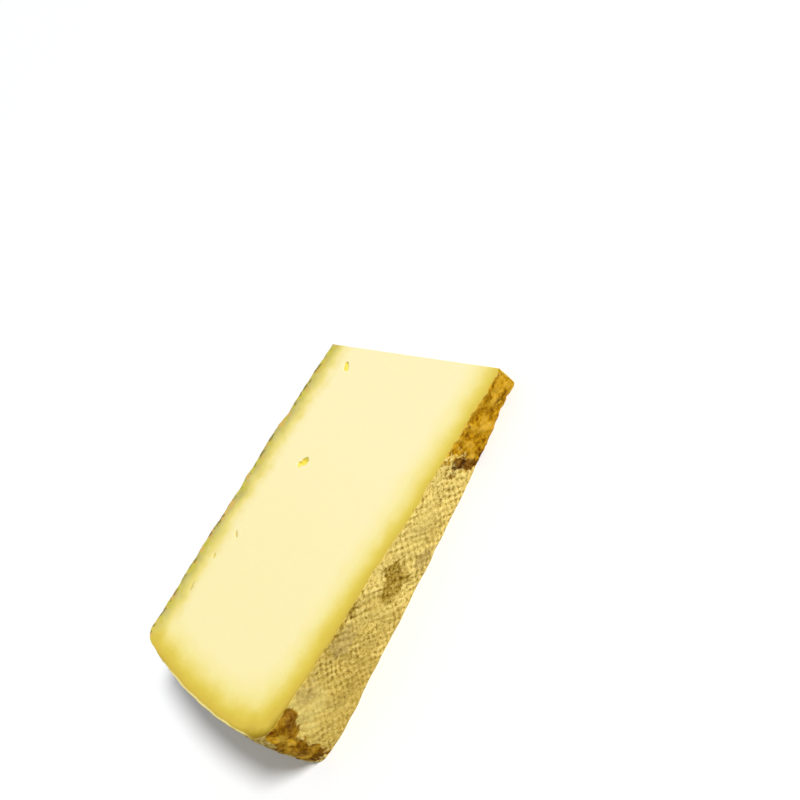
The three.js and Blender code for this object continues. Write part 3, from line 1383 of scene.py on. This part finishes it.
        from_tip = section[:, 0] - self.tip_radius(section[:, 1], points.level)
        self.keep(mesh, "gaps", gaps)
        self.keep(mesh, "sink", sink)
        self.keep(mesh, "from_cut", np.minimum(below, from_tip * math.cos(self.wheel.tip_skew)))
        self.keep(mesh, "bumps", self.spread(bumps, points.on_skin))
        for tone, cover in tones.items():
            self.keep(mesh, tone.value, self.spread(cover, points.on_skin))
        return mesh

    def build(self, mottle: bpy.types.NodeTree) -> bpy.types.Object:
        """Makes the wedge and dresses it, with the materials in the order of PASTE and RIND.

        Args:
            mottle: The node group for uneven patches.

        Returns:
            The wedge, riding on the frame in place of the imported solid.
        """
        wedge = bpy.data.objects.new("wedge_of_cheese", self.shaped_mesh())
        bpy.context.scene.collection.objects.link(wedge)
        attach(wedge, BODY)
        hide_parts(NODE)
        for finish in (self.paste_finish, self.rind_finish):
            wedge.data.materials.append(finish.material(mottle))
        return wedge

    @staticmethod
    def spread(values: np.ndarray, where: np.ndarray) -> np.ndarray:
        """Gives values of some vertices their places among all of them.

        Args:
            values: The values.
            where: For each vertex, whether it has one of the values.

        Returns:
            A value for each vertex, with zeros elsewhere.
        """
        wide = np.zeros(len(where))
        wide[where] = values
        return wide

    @staticmethod
    def keep(mesh: bpy.types.Mesh, name: str, values: np.ndarray) -> None:
        """Keeps a number or a vector for each vertex as an attribute.

        Args:
            mesh: The mesh that gets the attribute.
            name: The attribute's name.
            values: One value or one row of three a vertex.
        """
        kind, field = ("FLOAT", "value") if values.ndim == 1 else ("FLOAT_VECTOR", "vector")
        attribute = mesh.attributes.new(name, kind, "POINT")
        attribute.data.foreach_set(field, values.astype(np.float32).ravel())


@dataclass(frozen=True)
class Studio:
    """A plain pale floor under a soft sky and one broad soft light, in metres."""

    floor_size: float = 6.0
    floor_colour: Triple = (251, 251, 251)
    floor_clouds: Mottle = Mottle(90.0, 2.0, 83.1)
    floor_surface: Surface = Surface(0.7, 0.05, 0.1)
    sky_strength: float = 0.37
    sky_colour: Triple = (248, 251, 255)
    sun_strength: float = 2.95
    sun_angle: float = math.radians(14)
    sun_way: Triple = (1.0, -0.8, 1.45)

    def build(self, mottle: bpy.types.NodeTree) -> None:
        """Makes the floor, the sky and the light.

        Args:
            mottle: The node group for uneven patches.
        """
        self.lay_floor(mottle)
        self.hang_light()
        self.open_sky()
        bpy.context.scene.view_settings.view_transform = "Standard"

    def lay_floor(self, mottle: bpy.types.NodeTree) -> None:
        """Makes the floor, with a matte, almost white finish.

        Args:
            mottle: The node group for uneven patches.
        """
        mesh = bpy.data.meshes.new("floor")
        bm = bmesh.new()
        bmesh.ops.create_grid(bm, x_segments=2, y_segments=2, size=self.floor_size / 2)
        bm.to_mesh(mesh)
        bm.free()
        floor = bpy.data.objects.new("floor", mesh)
        bpy.context.scene.collection.objects.link(floor)
        sheet = MaterialSheet("pale_floor", mottle)
        sheet.dress(linear(self.floor_colour), sheet.mottled(self.floor_clouds), self.floor_surface)
        mesh.materials.append(sheet.material)

    def hang_light(self) -> None:
        """Makes the broad light."""
        sun = bpy.data.lights.new("broad_light", "SUN")
        sun.energy = self.sun_strength
        sun.angle = self.sun_angle
        lamp = bpy.data.objects.new("broad_light", sun)
        lamp.rotation_euler = Vector(self.sun_way).to_track_quat("Z", "Y").to_euler()
        bpy.context.scene.collection.objects.link(lamp)

    def open_sky(self) -> None:
        """Makes the sky, which is soft as a light and plain white to look at."""
        world = bpy.data.worlds.new("soft_sky")
        bpy.context.scene.world = world
        world.use_nodes = True
        sheet = Sheet(world.node_tree)
        seen = sheet.add("LightPath").outputs["Is Camera Ray"]
        strength = sheet.math("MULTIPLY_ADD", seen, 1 - self.sky_strength, self.sky_strength)
        background = world.node_tree.nodes["Background"]
        sheet.feed(background.inputs["Color"], sheet.blend(seen, linear(self.sky_colour), linear(WHITE)))
        sheet.feed(background.inputs["Strength"], strength)


@dataclass(frozen=True)
class PhotoCamera:
    """The camera, at the angle from which the wedge is seen, in millimetres and degrees."""

    place: Triple = (53.65, -341.3, 340.8)
    elevation: float = 44.32
    azimuth: float = -1.76
    roll: float = -62.92
    lens: float = 49.5
    sensor: float = 36.0
    clip_start: float = 10.0

    def build(self) -> bpy.types.Object:
        """Makes the camera and sets it as the scene's.

        Returns:
            The camera.
        """
        tilt, turn, roll = (math.radians(value) for value in (self.elevation, self.azimuth, self.roll))
        data = bpy.data.cameras.new("camera")
        data.lens = self.lens
        data.sensor_width = self.sensor
        data.clip_start = self.clip_start * MM
        camera = bpy.data.objects.new("camera", data)
        way = Matrix.Rotation(turn, 4, "Z") @ Matrix.Rotation(math.pi / 2 - tilt, 4, "X")
        place = Matrix.Translation(Vector(self.place) * MM)
        camera.matrix_world = place @ way @ Matrix.Rotation(roll, 4, "Z")
        bpy.context.scene.collection.objects.link(camera)
        bpy.context.scene.camera = camera
        return camera


def main() -> None:
    """Sets up the camera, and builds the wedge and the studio."""
    logging.basicConfig(level=logging.INFO)
    PhotoCamera().build()
    mottle = mottle_group()
    wedge = CheeseWedge().build(mottle)
    LOG.info("%s: %d vertices, %d faces", wedge.name, len(wedge.data.vertices), len(wedge.data.polygons))
    Studio().build(mottle)


if __name__ == "__main__":
    main()
